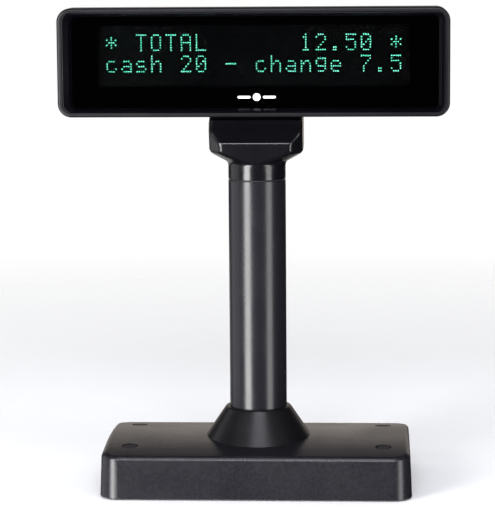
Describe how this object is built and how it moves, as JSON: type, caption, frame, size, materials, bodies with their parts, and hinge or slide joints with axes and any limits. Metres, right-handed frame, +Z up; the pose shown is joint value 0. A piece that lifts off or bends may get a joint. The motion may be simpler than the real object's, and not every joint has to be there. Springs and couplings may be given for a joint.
{
  "type": "customer pole display",
  "caption": "Two-line customer display head on a round pole, with a tilting and swivelling neck and a weighted rectangular base with an arched top.",
  "frame": {"origin": "bottom centre of the base, where its feet stand on the counter", "axes": "+Z up along the pole, -Y towards the customer who reads the display, +X to that customer's right"},
  "size_m": [0.1986, 0.09, 0.2522],
  "materials": {
    "base_plastic": "fine moulded grain",
    "collar_plastic": "fine moulded grain",
    "plug_plastic": "fine moulded grain",
    "cover_plastic": "satin",
    "yoke_plastic": "semi-gloss",
    "case_plastic": "semi-gloss",
    "frame_plastic": "gloss",
    "pole_paint": "semi-gloss",
    "smoked_window": "polished",
    "mark_ink": "printed",
    "tube_glass": "polished",
    "anode_glass": "satin",
    "seal_frit": "matt",
    "phosphor": "matt",
    "lead_wire": "tinned",
    "foam": "foamed",
    "board_laminate": "solder mask",
    "chip_plastic": "matt",
    "header_plastic": "satin",
    "can_aluminium": "sleeved",
    "coil_copper": "ferrite",
    "harness_sleeve": "satin",
    "foot_rubber": "matt",
    "ballast_steel": "mill",
    "socket_alloy": "cast",
    "screw_steel": "zinc plated",
    "black_steel": "black oxide",
    "spring_steel": "plain",
    "inlet_metal": "nickel plated",
    "inlet_plastic": "satin",
    "bush_plastic": "acetal",
    "washer_plastic": "low friction"
  },
  "bodies": {
    "stand": {"base_shell": "base_plastic", "bottom_cover": "cover_plastic", "cover_screws": "screw_steel", "rubber_feet": "foot_rubber", "screw_plugs": "plug_plastic", "ballast_plate": "ballast_steel", "ballast_screws": "screw_steel", "pole_collar": "collar_plastic", "pole_socket": "socket_alloy", "socket_screws": "screw_steel", "pole_tube": "pole_paint", "pole_grub_screws": "black_steel", "interface_board": "board_laminate", "interface_chips": "chip_plastic", "interface_header": "header_plastic", "interface_screws": "screw_steel", "usb_inlet_shell": "inlet_metal", "usb_inlet_insulator": "inlet_plastic", "swivel_bush": "bush_plastic", "swivel_washer": "washer_plastic", "swivel_stop_pin": "screw_steel", "pole_harness": "harness_sleeve"},
    "neck": {"neck_yoke": "yoke_plastic", "swivel_spring_washer": "spring_steel", "swivel_retaining_ring": "spring_steel", "tilt_pivot_screws": "black_steel", "tilt_pivot_nuts": "screw_steel", "tilt_friction_washers": "washer_plastic", "neck_harness": "harness_sleeve"},
    "head": {"front_bezel": "case_plastic", "window_frame": "frame_plastic", "filter_window": "smoked_window", "window_mark": "mark_ink", "display_front_glass": "tube_glass", "display_seal": "seal_frit", "display_anode_glass": "anode_glass", "character_cells": "phosphor", "display_exhaust_tip": "tube_glass", "display_leads": "lead_wire", "display_foam_strips": "foam", "main_board": "board_laminate", "main_board_screws": "screw_steel", "controller_chips": "chip_plastic", "board_capacitors": "can_aluminium", "converter_coil": "coil_copper", "head_header": "header_plastic", "rear_shell": "case_plastic", "case_screws": "black_steel", "head_harness": "harness_sleeve"}
  },
  "joints": [
    {"name": "swivel", "type": "hinge", "parent": "stand", "child": "neck", "pos_m": [0, 0, 0.162], "axis": [0, 0, 1], "range_deg": [-160, 160]},
    {"name": "tilt", "type": "hinge", "parent": "neck", "child": "head", "pos_m": [0, 0.0025, 0.203], "axis": [-1, 0, 0], "range_deg": [-5, 30]}
  ]
}
